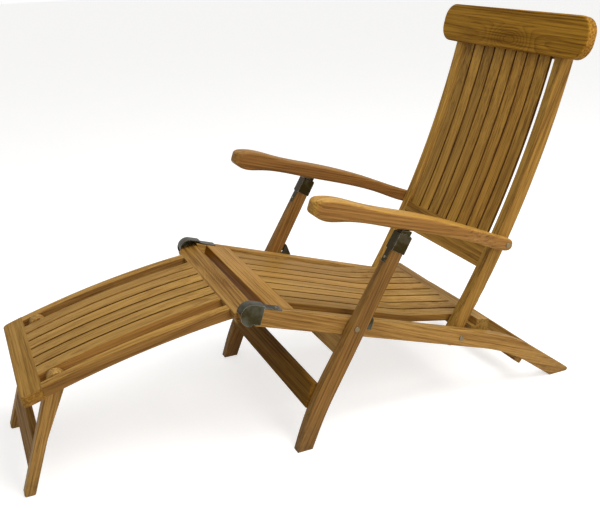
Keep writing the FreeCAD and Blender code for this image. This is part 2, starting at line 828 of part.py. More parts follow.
def cap_block(side, wall, roof):
    """The leg's end grown by a wall all round and by a roof above it."""
    t0 = leg_top - CAP_LENGTH
    points = [
        (leg_axis.at(t0, leg_front_at(t0) + wall), 0),
        (leg_axis.at(leg_top + roof, leg_front_at(leg_top) + wall), 0),
        (leg_axis.at(leg_top + roof, -leg_front_at(leg_top) - wall), 0),
        (leg_axis.at(t0, -leg_front_at(t0) - wall), 0),
    ]
    return prism(corner_run(points), side * (leg_in - wall), side * (leg_out + wall))


def cap_shell(side):
    """Steel cap over the leg's end, with a bevel round its roof."""
    outer = cap_block(side, CAP_WALL, CAP_WALL)
    roof = leg_axis.at(leg_top + CAP_WALL, 0)

    def round_roof(edge):
        return abs((edge.CenterOfMass - roof).dot(leg_axis.along)) < 0.01

    outer = outer.makeChamfer(CAP_BEVEL, [e for e in outer.Edges if round_roof(e)])
    return outer.cut(cap_block(side, 0, 0))


def leg_cap(side):
    t0 = leg_top - CAP_LENGTH - CAP_TANG
    t1 = leg_top - CAP_LENGTH + CAP_WALL
    tang_points = [
        (leg_axis.at(t0, leg_front_at(t0)), 0),
        (leg_axis.at(t1, leg_front_at(t1)), 0),
        (leg_axis.at(t1, leg_front_at(t1) + CAP_WALL), 0),
        (leg_axis.at(t0, leg_front_at(t0) + CAP_WALL), 0),
    ]
    tang = prism(corner_run(tang_points), side * (leg_in + TANG_INSET), side * (leg_out - TANG_INSET))
    roof = leg_top + CAP_WALL / 2
    half = leg_front_at(leg_top) - CAP_BEVEL
    front = leg_axis.at(roof, half)
    rear = leg_axis.at(roof, -half)
    front_top = meet(front, leg_axis.along, neck_top, rack.along)
    rear_top = meet(rear, leg_axis.along, neck_top, rack.along)
    neck_points = [(front, 0), (front_top, CAP_BEVEL), (rear_top, CAP_BEVEL), (rear, 0)]
    neck = prism(corner_run(neck_points), side * (leg_in + CAP_BEVEL), side * (leg_out - CAP_BEVEL))
    pin_out = side * (rack_out - 1)
    pin_in = side * (rack_out - RACK_WIDTH + 1)
    pin = rod(cap_pin, CAP_PIN_RADIUS, pin_in, pin_out)
    body = cap_shell(side).fuse([tang, neck, pin]).removeSplitter()
    return body.cut(screw_hole(cap_screw(side), leg_front_inwards()))


def cap_screws():
    return group([screw(cap_screw(side), leg_front_inwards()) for name, side in SIDES])


def leg_stretcher():
    """Wide board between the front legs, its face flush with their front edges."""
    foot, corner, top = leg_edge(True)
    along = (corner - foot).normalize()
    start = foot + along * (LEG_STRETCHER_HEIGHT / along.z)
    inwards = Vector(0, along.z, -along.y)
    points = [
        (start, EDGE),
        (start + along * LEG_STRETCHER_WIDTH, EDGE),
        (start + along * LEG_STRETCHER_WIDTH + inwards * LEG_STRETCHER_THICK, EDGE),
        (start + inwards * LEG_STRETCHER_THICK, EDGE),
    ]
    board = prism(corner_run(points), -leg_in, leg_in)
    return board


def leg_stop(side):
    """Steel plate on the rail's outer face, with a flange behind the open leg's rear edge."""
    behind = -LEG_DEPTH / 2 - FIT_GAP
    flange_points = [
        (leg_axis.at(STOP_LOW, behind), 0),
        (leg_axis.at(STOP_HIGH, behind), 0),
        (leg_axis.at(STOP_HIGH, behind - PLATE), 0),
        (leg_axis.at(STOP_LOW, behind - PLATE), 0),
    ]
    flange = prism(corner_run(flange_points), side * rail_out, side * (rail_out + STOP_FLANGE))
    foot = LEG_BOLT_PLACE + WASHER_RADIUS + 2
    plate_points = [
        (seat.at(foot, rail_half - STOP_LENGTH / 2), PLATE),
        (seat.at(foot + STOP_LENGTH, rail_half - STOP_LENGTH / 2), PLATE),
        (seat.at(foot + STOP_LENGTH, rail_half + PLATE), PLATE),
        (leg_axis.at(STOP_HIGH, behind - PLATE), 0),
        (leg_axis.at(STOP_HIGH, behind), 0),
        (leg_axis.at(STOP_LOW, behind), 0),
    ]
    plate = prism(corner_run(plate_points), side * rail_out, side * (rail_out + PLATE))
    return plate.fuse(flange).removeSplitter()


# Leg rest

def rest_top(a):
    """Height of the leg rest's bowed top above its chord."""
    return REST_BOW_HEIGHT - (a - REST_BOW_CENTRE) ** 2 / (2 * REST_BOW_RADIUS)


def rest_strip(a0, a1, upper, lower):
    """Wire of a bowed strip between two distances from the knee and two depths below the top."""
    middle = (a0 + a1) / 2

    def spot(a, drop):
        return rest.at(a, rest_top(a) - drop)

    return Part.Wire([
        arc(spot(a0, upper), spot(middle, upper), spot(a1, upper)),
        line(spot(a1, upper), spot(a1, lower)),
        arc(spot(a1, lower), spot(middle, lower), spot(a0, lower)),
        line(spot(a0, lower), spot(a0, upper)),
    ])


rest_end_start = REST_LENGTH - REST_END_BOARD
foot_leg_pivot = rest.at(FOOT_LEG_PLACE, rest_top(FOOT_LEG_PLACE) - FOOT_LEG_DROP)


def rest_rail(side):
    wire = rest_strip(REST_INNER, rest_end_start, 0, REST_RAIL_DEPTH)
    body = ease(prism(wire, side * rest_rail_in, side * rest_rail_out), EDGE, runs_lengthwise)
    deep = rest_rail_in + REST_PIVOT_DEPTH
    return body.cut(rod(foot_leg_pivot, BOLT_RADIUS + RUNNING_FIT, side * (rest_rail_in - 1), side * deep))


def rest_end_board():
    points = [
        (rest.at(rest_end_start, rest_top(rest_end_start)), 0),
        (rest.at(REST_LENGTH, rest_top(REST_LENGTH)), 2 * EDGE),
        (rest.at(REST_LENGTH + REST_NOSE_LEAN, rest_top(REST_LENGTH) - REST_RAIL_DEPTH), 2 * EDGE),
        (rest.at(rest_end_start - SLAT_BEARING, rest_top(rest_end_start) - REST_RAIL_DEPTH), 0),
        (rest.at(rest_end_start - SLAT_BEARING, rest_top(rest_end_start - SLAT_BEARING) - REST_SLAT_THICK), 0),
        (rest.at(rest_end_start, rest_top(rest_end_start) - REST_SLAT_THICK), 0),
    ]
    slat_half = foot_leg_in - REST_SLAT_SIDE
    board = prism(corner_run(points), -rest_rail_out, rest_rail_out)
    for name, side in SIDES:
        ledge_end = rest_end_start - SLAT_BEARING - 1
        clear = rest_strip(ledge_end, rest_end_start, -EDGE, REST_RAIL_DEPTH + EDGE)
        board = board.cut(prism(clear, side * slat_half, side * (rest_rail_out + 1)))
    return board.common(end_board_plan())


def end_board_plan():
    """Deep block whose plan is the end board's, with its two outer corners rounded."""
    start = rest_end_start - SLAT_BEARING - EDGE
    end = REST_LENGTH + REST_NOSE_LEAN
    low, high = -REST_BOARD_THICK, 2 * REST_BOARD_THICK
    corners = [rest.at(a, b) for a, b in ((start, low), (end, low), (end, high), (start, high))]
    block = prism(corner_run([(corner, 0) for corner in corners]), -rest_rail_out, rest_rail_out)
    nose = rest.at(end, 0)
    outer = [e for e in block.Edges if e.BoundBox.XLength < 0.01 and abs((e.CenterOfMass - nose).dot(rest.along)) < 0.01]
    return block.makeFillet(REST_END_ROUND, outer)


def rest_inner_board():
    """Board at the knee: its ends narrow to tongues that turn on the brackets' pins."""
    points = [
        (rest.at(-REST_BACK, rest_top(-REST_BACK)), EDGE),
        (rest.at(REST_INNER, rest_top(REST_INNER)), 0),
        (rest.at(REST_INNER, rest_top(REST_INNER) - REST_SLAT_THICK), 0),
        (rest.at(REST_INNER + SLAT_BEARING, rest_top(REST_INNER) - REST_SLAT_THICK), 0),
        (rest.at(REST_INNER + SLAT_BEARING, rest_top(REST_INNER) - REST_BOARD_THICK), 0),
        (rest.at(-REST_BACK, rest_top(REST_INNER) - REST_BOARD_THICK), EDGE),
    ]
    reach = rest_rail_out
    slat_half = foot_leg_in - REST_SLAT_SIDE
    board = prism(corner_run(points), -reach, reach)
    for name, side in SIDES:
        clear = rest_strip(REST_INNER, REST_INNER + SLAT_BEARING + 1, -EDGE, REST_RAIL_DEPTH + EDGE)
        board = board.cut(prism(clear, side * slat_half, side * (reach + 1)))
    wing = [
        (rest.at(-REST_BACK, rest_top(-REST_BACK)), EDGE),
        (rest.at(REST_INNER, rest_top(REST_INNER)), EDGE),
        (rest.at(REST_INNER, rest_top(REST_INNER) - REST_BOARD_THICK), EDGE),
        (rest.at(-REST_BACK, rest_top(REST_INNER) - REST_BOARD_THICK), EDGE),
    ]
    tongue_radius = BRACKET_RADIUS - BRACKET_WALL - TONGUE_CLEARANCE
    parts = []
    for side in (1, -1):
        block = prism(corner_run(wing), side * reach, side * (rail_in - TONGUE_CLEARANCE))
        end = prism(corner_run(wing), side * (rail_in - TONGUE_CLEARANCE), side * (rail_out - TONGUE_CLEARANCE))
        parts.append(block)
        parts.append(end.common(rod(knee, tongue_radius, side * reach, side * rail_out)))
    board = board.fuse(parts).removeSplitter()
    for side in (1, -1):
        board = board.cut(bolt_hole(knee, rail_in - TONGUE_CLEARANCE, rail_out, side))
    return board


def rest_slat(centre, half):
    wire = rest_strip(REST_INNER, rest_end_start, 0, REST_SLAT_THICK)
    return ease(prism(wire, centre - half, centre + half), SLAT_EDGE, runs_lengthwise)


# Legs of the leg rest, which stand against the end board's lower edge

def foot_leg_lean():
    """Heading of the leg at which its outer edge just clears the end board's corner."""
    corner = rest.at(rest_end_start, rest_top(rest_end_start) - REST_RAIL_DEPTH)
    reach = corner - foot_leg_pivot
    away = FOOT_LEG_TOP_DEPTH / 2 + FOOT_LEG_STOP_GAP
    direction = math.degrees(math.atan2(reach.z, reach.y))
    return direction + math.degrees(math.asin(away / reach.Length))


foot_lean = foot_leg_lean()
foot_axis = SideFrame(foot_leg_pivot, foot_lean, foot_lean - 90)
foot_length = foot_leg_pivot.z / -heading(foot_lean).z


outer_foot = at_floor(foot_axis.at(foot_length, FOOT_LEG_OUTER), foot_axis.along)
inner_foot = at_floor(foot_axis.at(foot_length, -FOOT_LEG_INNER), foot_axis.along)


def foot_leg(side):
    """Round at its pivot, straight outside, and waisted inside towards a narrow foot."""
    top = FOOT_LEG_TOP_DEPTH / 2
    points = [
        (foot_axis.at(-top, top), top - FIT_GAP),
        (foot_axis.at(-top, -top), top - FIT_GAP),
        (foot_axis.at(0, -top), 0),
        (foot_axis.at(foot_length / 2, -FOOT_LEG_INNER), FOOT_LEG_WAIST_RADIUS),
        (inner_foot, FOOT_TIP_RADIUS),
        (outer_foot, FOOT_TIP_RADIUS),
        (foot_axis.at(0, top), 0),
    ]
    body = plank(points, side * foot_leg_in, side * foot_leg_out)
    return body.cut(bolt_hole(foot_leg_pivot, foot_leg_in, foot_leg_out, side))


def foot_stretcher():
    """Board between the two legs, its face flush with their outer edges."""
    along = (foot_axis.at(0, FOOT_LEG_TOP_DEPTH / 2) - outer_foot).normalize()
    start = outer_foot + along * (FOOT_STRETCHER_HEIGHT / along.z)
    inwards = Vector(0, along.z, -along.y)
    points = [
        (start, EDGE),
        (start + along * FOOT_STRETCHER_WIDTH, EDGE),
        (start + along * FOOT_STRETCHER_WIDTH + inwards * FOOT_STRETCHER_THICK, EDGE),
        (start + inwards * FOOT_STRETCHER_THICK, EDGE),
    ]
    return prism(corner_run(points), -foot_leg_in, foot_leg_in)


# Bolts, washers and nuts of each pivot

def leg_fixings():
    parts = []
    for name, side in SIDES:
        parts.append(bolt(leg_bolt, leg_out, rail_in, side))
        parts.append(washer(leg_bolt, rail_out, leg_in, side))
        parts.append(nut(leg_bolt, rail_in + NUT_THICK, side))
    return group(parts)


def back_fixings():
    parts = []
    for name, side in SIDES:
        parts.append(bolt(back_pivot, rail_out, stile_in - NUT_THICK, side))
        parts.append(washer(back_pivot, stile_out, rail_in, side))
        parts.append(nut(back_pivot, stile_in, side))
    return group(parts)


def arm_fixings():
    parts = []
    for name, side in SIDES:
        parts.append(bolt(arm_bolt, arm_rear_out, stile_in - NUT_THICK, side))
        parts.append(washer(arm_bolt, stile_out, arm_in, side))
        parts.append(nut(arm_bolt, stile_in, side))
    return group(parts)


def foot_leg_fixings():
    """Shouldered bolts with their heads inside the legs, let blind into the rails."""
    parts = []
    for name, side in SIDES:
        deep = rest_rail_in + REST_PIVOT_DEPTH - FIT_GAP
        parts.append(bolt(foot_leg_pivot, -foot_leg_in, -deep, -side))
        parts.append(washer(foot_leg_pivot, foot_leg_out, rest_rail_in, side))
    return group(parts)


def build_seat():
    for name, side in SIDES:
        nodes["seat_rail_" + name] = seat_rail(side)
        nodes["knee_bracket_" + name] = knee_bracket(side)
    nodes["seat_front_rail"] = seat_front_rail()
    nodes["seat_rear_rail"] = seat_rear_rail()
    nodes["rear_stretcher"] = rear_stretcher()
    nodes["seat_under_board"] = seat_under_board()
    places = slat_places(stile_in - SEAT_SLAT_SIDE, SEAT_SLATS, SEAT_SLAT_GAP)
    for number, (centre, half) in enumerate(places, 1):
        nodes["seat_slat_%d" % number] = seat_slat(centre, half)
    nodes["bracket_screws"] = bracket_screws()
    nodes["leg_stops"] = group([leg_stop(side) for name, side in SIDES])
    nodes["leg_fixings"] = leg_fixings()
    nodes["back_fixings"] = back_fixings()


def build_back():
    for name, side in SIDES:
        nodes["back_stile_" + name] = back_stile(side)
    nodes["back_lower_rail"] = back_lower_rail()
    nodes["back_top_rail"] = back_top_rail()
    nodes["headrest"] = ease(headrest_board(), 2 * EDGE)
    places = slat_places(stile_in - BACK_SIDE_GAP, BACK_SLATS, BACK_SLAT_GAP)
    for number, (centre, half) in enumerate(places, 1):
        nodes["back_slat_%d" % number] = back_slat(centre, half)
    nodes["arm_fixings"] = arm_fixings()


def build_front():
    for name, side in SIDES:
        nodes["front_leg_" + name] = front_leg(side)
        nodes["leg_cap_" + name] = leg_cap(side)
        nodes["arm_" + name] = arm_body(side)
        nodes["arm_rack_" + name] = arm_rack(side)
    nodes["leg_stretcher"] = leg_stretcher()
    nodes["cap_screws"] = cap_screws()


def build_rest():
    for name, side in SIDES:
        nodes["rest_rail_" + name] = rest_rail(side)
        nodes["foot_leg_" + name] = foot_leg(side)
    nodes["rest_end_board"] = rest_end_board()
    nodes["rest_inner_board"] = rest_inner_board()
    places = slat_places(foot_leg_in - REST_SLAT_SIDE, REST_SLATS, REST_SLAT_GAP)
    for number, (centre, half) in enumerate(places, 1):
        nodes["rest_slat_%d" % number] = rest_slat(centre, half)
    nodes["foot_stretcher"] = foot_stretcher()
    nodes["foot_leg_fixings"] = foot_leg_fixings()


def write_parts():
    os.makedirs("parts", exist_ok=True)
    boxes = [shape.optimalBoundingBox(False, False) for shape in nodes.values()]
    front = min(box.YMin for box in boxes)
    back = max(box.YMax for box in boxes)
    shift = Vector(0, -(front + back) / 2, 0)
    for name, shape in nodes.items():
        shape.translate(shift)
        shape.exportStep("parts/%s.step" % name)
    pivots = {
        "knee": knee, "leg_bolt": leg_bolt, "back_pivot": back_pivot,
        "arm_bolt": arm_bolt, "foot_leg_pivot": foot_leg_pivot, "cap_pin": cap_pin,
    }
    for name, point in pivots.items():
        place = point + shift
        print("pivot %s y %.3f z %.3f" % (name, place.y, place.z))
    print("length %.2f" % (back - front))


build_seat()
build_back()
build_front()
build_rest()
write_parts()
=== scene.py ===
import json
import math
import random

import bpy
from mathutils import Matrix, Vector


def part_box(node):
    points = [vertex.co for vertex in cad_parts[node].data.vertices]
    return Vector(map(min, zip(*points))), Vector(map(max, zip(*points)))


# Folding teak deck chair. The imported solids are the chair; this file gives them their wood and steel.
# Metres; X across the chair, +Y towards its back, Z up from the floor.

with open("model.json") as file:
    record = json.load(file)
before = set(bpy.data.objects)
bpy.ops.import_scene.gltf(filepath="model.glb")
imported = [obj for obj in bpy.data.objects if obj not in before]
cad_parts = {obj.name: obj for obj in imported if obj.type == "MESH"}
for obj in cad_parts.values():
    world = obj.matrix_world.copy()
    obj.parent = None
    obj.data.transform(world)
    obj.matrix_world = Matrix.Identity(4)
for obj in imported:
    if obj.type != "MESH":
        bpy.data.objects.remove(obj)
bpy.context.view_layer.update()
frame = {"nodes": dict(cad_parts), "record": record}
bpy.ops.object.select_all(action="DESELECT")

# Directions of the boards in the side view, in degrees from +Y towards +Z
SEAT_ANGLE = -18.1
RAIL_ANGLE = -21.0
BACK_ANGLE = 67.0
HEAD_ANGLE = 75.5
ARM_ANGLE = -16.0
LEG_ANGLE = 62.0
REST_ANGLE = 12.5
INNER_BOARD_ANGLE = 20.0
FOOT_ANGLE = 72.0
ACROSS = None

# Tones of the wood, each light and dark, as linear colours
GOLDEN = (0.52, 0.300, 0.072), (0.24, 0.115, 0.022)
PALE = (0.47, 0.265, 0.058), (0.24, 0.118, 0.021)
OLIVE = (0.48, 0.260, 0.044), (0.19, 0.088, 0.013)
FAR_STILE = (0.62, 0.35, 0.065), (0.29, 0.145, 0.022)
HEAD = (0.43, 0.215, 0.023), (0.16, 0.066, 0.004)
ARM = (0.52, 0.292, 0.058), (0.25, 0.120, 0.020)
LEG = (0.34, 0.176, 0.040), (0.16, 0.072, 0.013)
FRONT_RAIL = (0.42, 0.215, 0.036), (0.21, 0.094, 0.012)
REST_RAIL = (0.45, 0.250, 0.050), (0.21, 0.098, 0.016)
REST_END = (0.38, 0.202, 0.032), (0.19, 0.088, 0.011)
REST_INNER = (0.38, 0.210, 0.044), (0.15, 0.064, 0.010)
# The two stretchers' tones are teak darkened with painted shade, for boards in shadow under the seat
# and the footrest
UNDER_SEAT_SHADED = (0.24, 0.122, 0.018), (0.10, 0.042, 0.004)
FOOTREST_HALF_SHADED = (0.36, 0.185, 0.040), (0.17, 0.078, 0.014)
PORE = (0.055, 0.026, 0.009, 1)
# Colour of the painted shade and dirt low on the feet
SHADE_AND_DIRT_TONE = (0.10, 0.065, 0.03, 1)

# Tints that multiply a board's tone on the faces that look across the chair: partly the tone of the
# side grain, partly painted light and shade.
# The darkest, on the sides of the slats where their neighbours shade them, is painted shade in the
# gaps.
PLAIN_SIDE = (0.96, 0.90, 0.96)
SLAT_SIDE_SHADE = (0.34, 0.26, 0.16)
OUTER_SEAT_SIDE = (0.80, 0.70, 0.66)
OUTER_REST_SIDE = (1.0, 0.85, 0.85)
REST_RAIL_SIDE = (0.70, 0.64, 0.80)
NEAR_ARM_SIDE = (0.76, 0.67, 0.86)
FAR_ARM_SIDE = (0.88, 0.80, 0.92)
REAR_RAIL_END = (0.62, 0.62, 0.55)
HEAD_END = (1.1, 1.05, 1.5)

# Tints of the faces that look to the chair's front
PLAIN_FRONT = (1.0, 1.0, 1.0)
SHADED_FRONT = (0.66, 0.48, 0.08)

# Nearest and farthest that a board's pith lies from its middle, in metres
FAR_PITH = (0.03, 0.09)
NEAR_PITH = (0.02, 0.05)
KNOT_PITH = (0.02, 0.04)

# Layers of noise in the wood: cells to the metre with the grain along Y, levels of detail,
# their roughness, and a shift of the seed that keeps one layer unlike another
SLOW_BEND = (7.0, 1.3, 7.0), 2.0, 0.5, 0.0
QUICK_BEND = (26.0, 5.0, 26.0), 3.0, 0.5, 0.0
RING_PATCHES = (11.0, 2.0, 11.0), 2.0, 0.5, 3.7
BROAD_BANDS = (24.0, 1.4, 24.0), 3.0, 0.55, 9.1
STREAKS = (210.0, 3.0, 210.0), 4.0, 0.62, 5.3
FIBRES = (800.0, 16.0, 800.0), 2.0, 0.6, 1.9

# How far the two bends push the growth rings, and how far apart the rings are, in metres
SLOW_PUSH = 0.034
QUICK_PUSH = 0.008
RING_SPACING = 0.006
RING_SHARPNESS = 2.4
# How fast a knot fades, to the metre, with the grain along Y
KNOT_FALL = (34.0, 13.0, 34.0)
# The most that the grain leans from a board's length, in degrees
GRAIN_LEAN = 1.2

# Spans: the two ends of what comes in, and what each end becomes
RING_END = 0.93, 1.0, 1.0, 0.0
PATCH_SPAN = 0.3, 0.7, 0.25, 1.0
BROAD_SPAN = 0.34, 0.66, 0.18, 0.66
STREAK_SPAN = 0.38, 0.64, -0.5, 0.5
FIBRE_SPAN = 0.3, 0.7, -0.18, 0.18
KNOT_SPAN = 0.0, 0.05, 0.0, 0.30
PORE_SPAN = 0.76, 0.86, 0.0, 0.55
WOOD_ROUGHNESS = 0.0, 1.0, 0.46, 0.62
SIDE_SPAN = 0.66, 0.9, 0.0, 1.0
FRONT_SPAN = 0.75, 0.92, 0.0, 1.0
# Painted shade and dirt fade out over this height above the floor
LOW_SHADE_SPAN = 0.0, 0.13, 1.0, 0.0
BLOTCH_SPAN = 0.35, 0.65, 0.2, 1.0
RUBBED_AND_HIGHLIT_SPAN = 0.985, 0.80, 0.0, 1.0
CLOUD_SPAN = 0.35, 0.65, 0.85, 1.1
SPECK_SPAN = 0.62, 0.75, 0.0, 0.15
STEEL_ROUGHNESS = 0.0, 1.0, 0.24, 0.42
LINE_ROUGHNESS = 0.3, 0.7, -0.04, 0.04

# Noise on the feet and in the steel, in cells to the metre
BLOTCH_CELLS = 60.0
CLOUD_CELLS = 26.0
SPECK_CELLS = 520.0
LINE_CELLS = (2200.0, 90.0, 90.0)

# How wide the steel's edges are made bright, as rubbed wear and painted highlight, in metres
RUBBED_AND_HIGHLIT_EDGE = 0.0012
# Strength of the relief, and its depth in metres
WOOD_RELIEF = 0.35, 0.0006
STEEL_RELIEF = 0.08, 0.0002


# Node building

class Bench:
    """Puts nodes into one tree; an argument may be a number, a colour or another node's output."""

    def __init__(self, tree):
        self.tree = tree

    def wire(self, source, target):
        if hasattr(source, "is_output"):
            self.tree.links.new(source, target)
        else:
            target.default_value = source

    def math(self, operation, a, b=None, clamp=False):
        node = self.tree.nodes.new("ShaderNodeMath")
        node.operation = operation
        node.use_clamp = clamp
        self.wire(a, node.inputs[0])
        if b is not None:
            self.wire(b, node.inputs[1])
        return node.outputs[0]

    def vector(self, operation, a, b=None):
        node = self.tree.nodes.new("ShaderNodeVectorMath")
        node.operation = operation
        self.wire(a, node.inputs[0])
        if b is not None:
            self.wire(b, node.inputs[1])
        return node.outputs["Value"] if operation in ("LENGTH", "DOT_PRODUCT") else node.outputs[0]

    def noise(self, place, scale, detail, rough, seed=0.0):
        node = self.tree.nodes.new("ShaderNodeTexNoise")
        node.noise_dimensions = "4D"
        self.wire(place, node.inputs["Vector"])
        self.wire(seed, node.inputs["W"])
        self.wire(scale, node.inputs["Scale"])
        self.wire(detail, node.inputs["Detail"])
        self.wire(rough, node.inputs["Roughness"])
        return node.outputs["Fac"]

    def spread(self, value, low, high, out_low, out_high):
        node = self.tree.nodes.new("ShaderNodeMapRange")
        for number, slot in zip((value, low, high, out_low, out_high), node.inputs):
            self.wire(number, slot)
        return node.outputs[0]

    def mix(self, factor, a, b, blend="MIX"):
        node = self.tree.nodes.new("ShaderNodeMix")
        node.data_type = "RGBA"
        node.blend_type = blend
        self.wire(factor, node.inputs[0])
        self.wire(a, node.inputs[6])
        self.wire(b, node.inputs[7])
        return node.outputs[2]

    def tint(self, factor, colour, by):
        """Colour multiplied by a tint, as far as the factor says."""
        return self.mix(factor, colour, self.mix(1.0, colour, by, "MULTIPLY"))


def new_group(name, takes, gives):
    """A shader node group with its bench, what it is given and what it gives."""
    group = bpy.data.node_groups.new(name, "ShaderNodeTree")
    for way, sockets in (("INPUT", takes), ("OUTPUT", gives)):
        for label, kind in sockets.items():
            group.interface.new_socket(name=label, in_out=way, socket_type="NodeSocket" + kind)
    put = group.nodes.new("NodeGroupInput").outputs
    out = group.nodes.new("NodeGroupOutput").inputs
    return group, Bench(group), put, out


def teak_figure():
    """Wood figure along Y: growth rings round a pith, streaks, fibres, pores and one knot."""
    takes = {"Place": "Vector", "Seed": "Float", "Light wood": "Color", "Dark wood": "Color",
             "Ring spacing": "Float", "Ring strength": "Float", "Streaks": "Float",
             "Knot place": "Vector", "Knot height": "Float"}
    gives = {"Colour": "Color", "Roughness": "Float", "Height": "Float"}
    group, b, put, out = new_group("Teak figure", takes, gives)
    place = put["Place"]

    def grain(cells, detail, rough, shift):
        """Noise drawn out along the grain."""
        layer = b.math("ADD", put["Seed"], shift)
        return b.noise(b.vector("MULTIPLY", place, cells), 1.0, detail, rough, layer)

    from_knot = b.vector("MULTIPLY", b.vector("SUBTRACT", place, put["Knot place"]), KNOT_FALL)
    far = b.vector("LENGTH", from_knot)
    knot = b.math("POWER", math.e, b.math("MULTIPLY", b.math("MULTIPLY", far, far), -1.0))
    knot_rise = b.math("MULTIPLY", knot, put["Knot height"])

    slow = b.math("MULTIPLY", grain(*SLOW_BEND), SLOW_PUSH)
    quick = b.math("MULTIPLY", grain(*QUICK_BEND), QUICK_PUSH)
    off_pith = b.vector("LENGTH", b.vector("MULTIPLY", place, (1.0, 0.0, 1.0)))
    radius = b.math("ADD", b.math("ADD", off_pith, b.math("ADD", slow, quick)), knot_rise)
    saw = b.math("FRACT", b.math("DIVIDE", radius, put["Ring spacing"]))
    ring = b.math("MULTIPLY", b.math("POWER", saw, RING_SHARPNESS), b.spread(saw, *RING_END))
    ring = b.math("MULTIPLY", ring, b.spread(grain(*RING_PATCHES), *PATCH_SPAN))
    ring = b.math("MULTIPLY", ring, put["Ring strength"])

    broad = b.spread(grain(*BROAD_BANDS), *BROAD_SPAN)
    streak = grain(*STREAKS)
    fibre = grain(*FIBRES)
    streak_tone = b.math("MULTIPLY", b.spread(streak, *STREAK_SPAN), put["Streaks"])
    knot_tone = b.math("MULTIPLY", knot, b.spread(put["Knot height"], *KNOT_SPAN))
    tone = b.math("ADD", b.math("ADD", broad, streak_tone), ring)
    tone = b.math("ADD", tone, b.spread(fibre, *FIBRE_SPAN))
    tone = b.math("ADD", tone, knot_tone, clamp=True)
    pores = b.spread(b.math("ADD", fibre, b.math("MULTIPLY", streak, 0.35)), *PORE_SPAN)
    hollows = b.math("ADD", b.math("MULTIPLY", pores, 0.8), b.math("MULTIPLY", ring, 0.3))

    b.wire(b.mix(pores, b.mix(tone, put["Light wood"], put["Dark wood"]), PORE), out["Colour"])
    b.wire(b.spread(tone, *WOOD_ROUGHNESS), out["Roughness"])
    b.wire(b.math("SUBTRACT", b.math("MULTIPLY", fibre, 0.5), hollows), out["Height"])
    return group


def shaded_faces():
    """Tints the faces that look across the chair and to its front, partly for grain tone and partly as
    painted light and shade, and puts painted shade and dirt low on the feet.
    """
    takes = {"Colour": "Color", "Place": "Vector", "Side tint": "Color", "Front tint": "Color",
             "Low dirt": "Float"}
    group, b, put, out = new_group("Shaded faces and dirt", takes, {"Colour": "Color"})
    normal = group.nodes.new("ShaderNodeNewGeometry").outputs["True Normal"]
    across = b.math("ABSOLUTE", b.vector("DOT_PRODUCT", normal, (1.0, 0.0, 0.0)))
    forwards = b.vector("DOT_PRODUCT", normal, (0.0, -1.0, 0.0))
    # Side and front tints: partly grain tone, partly painted light and shade
    tinted = b.tint(b.spread(across, *SIDE_SPAN), put["Colour"], put["Side tint"])
    tinted = b.tint(b.spread(forwards, *FRONT_SPAN), tinted, put["Front tint"])
    split = group.nodes.new("ShaderNodeSeparateXYZ")
    b.wire(put["Place"], split.inputs[0])
    # Painted shade and dirt: darker towards the floor, in blotches, as far as the board asks
    low = b.spread(split.outputs["Z"], *LOW_SHADE_SPAN)
    blotch = b.spread(b.noise(put["Place"], BLOTCH_CELLS, 4.0, 0.6), *BLOTCH_SPAN)
    dirt = b.math("MULTIPLY", b.math("MULTIPLY", low, blotch), put["Low dirt"])
    b.wire(b.mix(dirt, tinted, SHADE_AND_DIRT_TONE), out["Colour"])
    return group


def steel_wear():
    """Dull rolled steel: fine lines across the chair, cloudy stain, specks, and edges painted bright as
    rubbed wear and highlight.
    """
    takes = {"Place": "Vector", "Bare steel": "Color", "Stain": "Color", "Stained": "Float"}
    gives = {"Colour": "Color", "Roughness": "Float", "Height": "Float"}
    group, b, put, out = new_group("Steel wear", takes, gives)
    cloud = b.noise(put["Place"], CLOUD_CELLS, 3.0, 0.5)
    speck = b.noise(put["Place"], SPECK_CELLS, 3.0, 0.6)
    line = b.noise(b.vector("MULTIPLY", put["Place"], LINE_CELLS), 1.0, 2.0, 0.5)
    bevel = group.nodes.new("ShaderNodeBevel")
    bevel.inputs["Radius"].default_value = RUBBED_AND_HIGHLIT_EDGE
    flat = group.nodes.new("ShaderNodeNewGeometry").outputs["Normal"]
    # Edges bare of stain: rubbed wear and a painted highlight
    rubbed_and_highlit = b.spread(b.vector("DOT_PRODUCT", bevel.outputs[0], flat), *RUBBED_AND_HIGHLIT_SPAN)
    stain = b.math("MULTIPLY", b.spread(cloud, *CLOUD_SPAN), put["Stained"], clamp=True)
    stain = b.math("ADD", stain, b.spread(speck, *SPECK_SPAN), clamp=True)
    stain = b.math("SUBTRACT", stain, b.math("MULTIPLY", rubbed_and_highlit, 0.8), clamp=True)
    rough = b.math("ADD", b.spread(stain, *STEEL_ROUGHNESS), b.spread(line, *LINE_ROUGHNESS))
    height = b.math("ADD", b.math("MULTIPLY", line, 0.4), b.math("MULTIPLY", speck, 0.3))

    b.wire(b.mix(stain, put["Bare steel"], put["Stain"]), out["Colour"])
    b.wire(rough, out["Roughness"])
    b.wire(height, out["Height"])
    return group


TEAK_FIGURE = teak_figure()
SHADED_FACES = shaded_faces()
STEEL_WEAR = steel_wear()


# Materials

def fresh_material(name):
    """A node material with a Principled shader, and the object coordinates that feed it."""
    material = bpy.data.materials.new(name)
    material.use_nodes = True
    tree = material.node_tree
    shader = tree.nodes["Principled BSDF"]
    where = tree.nodes.new("ShaderNodeTexCoord").outputs["Object"]
    return material, tree, shader, where


def add_group(tree, group, values):
    """Adds a node group and sets those of its inputs that values names."""
    node = tree.nodes.new("ShaderNodeGroup")
    node.node_tree = group
    for name, value in values.items():
        node.inputs[name].default_value = value
    return node


